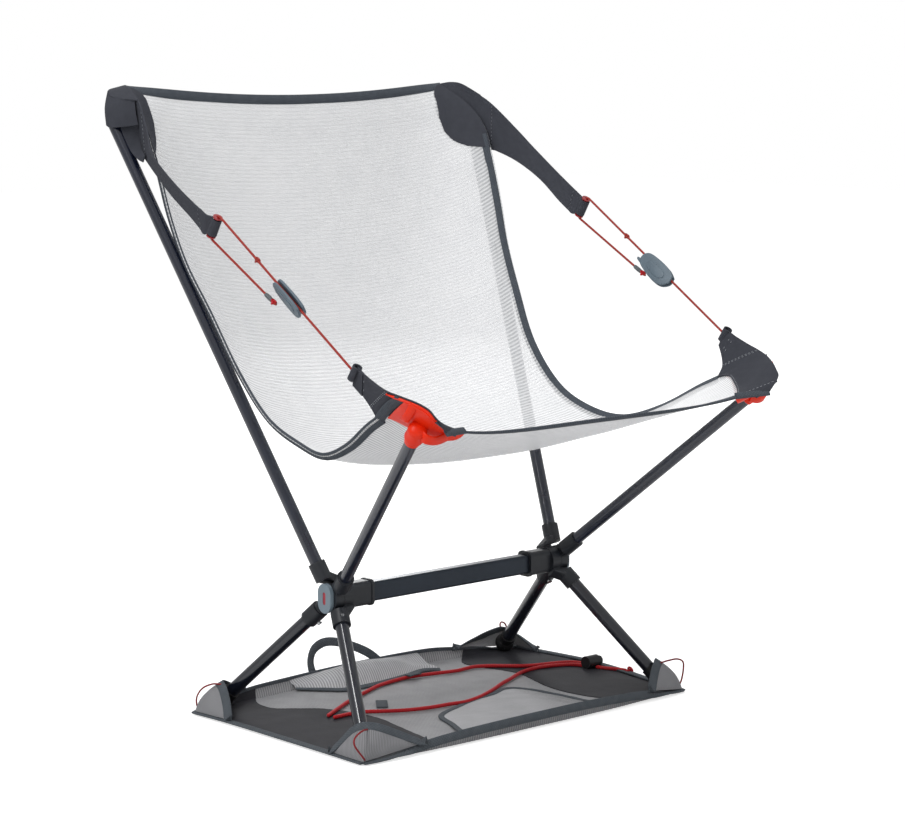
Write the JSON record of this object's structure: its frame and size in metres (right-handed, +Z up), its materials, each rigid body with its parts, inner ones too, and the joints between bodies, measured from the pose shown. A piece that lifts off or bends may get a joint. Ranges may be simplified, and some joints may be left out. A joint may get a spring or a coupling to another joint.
{
  "type": "ultralight backpacking chair",
  "caption": "Low folding camp chair with a mesh sling hung on crossed poles, cord adjusters at the arms and a ground sheet under its ball feet.",
  "frame": {"origin": "middle of the footprint, on the floor", "axes": "+Z up, the sitter faces -Y, +X is the sitter's left"},
  "size_m": [0.5096, 0.4904, 0.6354],
  "materials": {
    "crossbar_tube": "dark satin anodised",
    "pole_tube": "glossy dark navy anodised",
    "leg_tube": "glossy dark navy anodised",
    "ferrule_tube": "plain satin",
    "hub_plastic": "fine moulded texture",
    "cap_grey": "satin",
    "insert_red": "smooth",
    "steel": "bright",
    "tip_plastic": "satin",
    "elastic_cord": "braided",
    "foot_rubber": "matt",
    "patch_fabric": "fine ripstop weave",
    "strap_tube_red": "anodised gloss",
    "pocket_orange": "moulded, slight gloss",
    "sling_mesh": "fine ribbed mesh",
    "binding_tape": "woven tape",
    "adjuster_plastic": "satin",
    "thin_cord": "braided with dark flecks",
    "cord_end": "braided",
    "sheet_mesh": "open mesh",
    "sheet_tape": "woven tape",
    "panel_fabric": "plain weave",
    "loop_cord": "braided",
    "drawcord_red": "braided",
    "lock_plastic": "satin"
  },
  "bodies": {
    "ground_sheet": {"ground_panel": "sheet_mesh", "sheet_binding": "sheet_tape", "end_panels": "panel_fabric", "corner_gussets": "sheet_mesh", "corner_bands": "sheet_tape", "corner_loops": "loop_cord", "carry_handle": "sheet_tape", "mesh_flap": "sheet_mesh", "front_pocket": "sheet_mesh", "drawcord": "drawcord_red", "cord_lock": "lock_plastic", "lock_spring": "steel"},
    "back_frame": {"crossbar": "crossbar_tube", "right_hub": "hub_plastic", "left_hub": "hub_plastic", "pivot_pins": "steel", "hub_caps": "cap_grey", "cap_inserts": "insert_red", "leg_rivets": "steel", "right_back_pole_lower": "pole_tube", "left_back_pole_lower": "pole_tube", "right_back_pole_upper": "pole_tube", "left_back_pole_upper": "pole_tube", "pole_ferrules": "ferrule_tube", "back_pole_tips": "tip_plastic", "back_shock_cords": "elastic_cord", "right_front_leg": "leg_tube", "left_front_leg": "leg_tube", "front_feet": "foot_rubber", "right_wing_strap": "patch_fabric", "left_wing_strap": "patch_fabric", "right_strap_tube": "strap_tube_red", "left_strap_tube": "strap_tube_red", "sling": "sling_mesh", "top_hem": "binding_tape", "front_hem": "binding_tape", "side_tapes": "binding_tape", "right_arm_cord": "thin_cord", "left_arm_cord": "thin_cord"},
    "seat_frame": {"right_hub_arm": "hub_plastic", "left_hub_arm": "hub_plastic", "right_seat_pole": "pole_tube", "left_seat_pole": "pole_tube", "seat_pole_tips": "tip_plastic", "seat_shock_cords": "elastic_cord", "right_rear_leg": "leg_tube", "left_rear_leg": "leg_tube", "rear_feet": "foot_rubber", "leg_screws": "steel", "right_pole_pocket": "pocket_orange", "left_pole_pocket": "pocket_orange", "right_seat_corner": "patch_fabric", "left_seat_corner": "patch_fabric"},
    "right_adjuster": {"right_adjuster": "adjuster_plastic", "right_cord_sleeve": "cord_end"},
    "left_adjuster": {"left_adjuster": "adjuster_plastic", "left_cord_sleeve": "cord_end"},
    "right_cord": {"right_stopper_knot": "thin_cord"},
    "left_cord": {"left_stopper_knot": "thin_cord"},
    "lock_button": {"lock_button": "lock_plastic"}
  },
  "joints": [
    {"name": "base_tilt", "type": "hinge", "parent": "ground_sheet", "child": "back_frame", "pos_m": [0, -0.11974, 0.0118], "axis": [1, 0, 0], "range_deg": [-1.63, 3.8]},
    {"name": "recline", "type": "hinge", "parent": "back_frame", "child": "seat_frame", "pos_m": [0, -0.013, 0.1316], "axis": [1, 0, 0], "range_deg": [-7, 3], "deforming": ["sling", "top_hem", "front_hem", "side_tapes", "right_arm_cord", "left_arm_cord"]},
    {"name": "right_adjuster_slide", "type": "slide", "parent": "back_frame", "child": "right_adjuster", "axis": [0, 0.8359, 0.5489], "range_m": [-0.0356, 0.0154]},
    {"name": "left_adjuster_slide", "type": "slide", "parent": "back_frame", "child": "left_adjuster", "axis": [0, 0.8359, 0.5489], "range_m": [-0.0356, 0.0154]},
    {"name": "right_cord_pull", "type": "slide", "parent": "back_frame", "child": "right_cord", "axis": [0, 0.8359, 0.5489], "range_m": [-0.0154, 0.0356]},
    {"name": "left_cord_pull", "type": "slide", "parent": "back_frame", "child": "left_cord", "axis": [0, 0.8359, 0.5489], "range_m": [-0.0154, 0.0356]},
    {"name": "lock_press", "type": "slide", "parent": "ground_sheet", "child": "lock_button", "axis": [-1, 0, 0], "range_m": [0, 0.0035], "stiffness_N_per_m": 300, "springref_m": -0.004, "deforming": ["lock_spring"]}
  ],
  "couplings": [
    {"joint": "base_tilt", "follows": "recline", "ratio": -0.542},
    {"joint": "right_adjuster_slide", "follows": "recline", "m_per_rad": 0.289},
    {"joint": "right_cord_pull", "follows": "recline", "m_per_rad": -0.289},
    {"joint": "left_adjuster_slide", "follows": "recline", "m_per_rad": 0.289},
    {"joint": "left_cord_pull", "follows": "recline", "m_per_rad": -0.289}
  ]
}
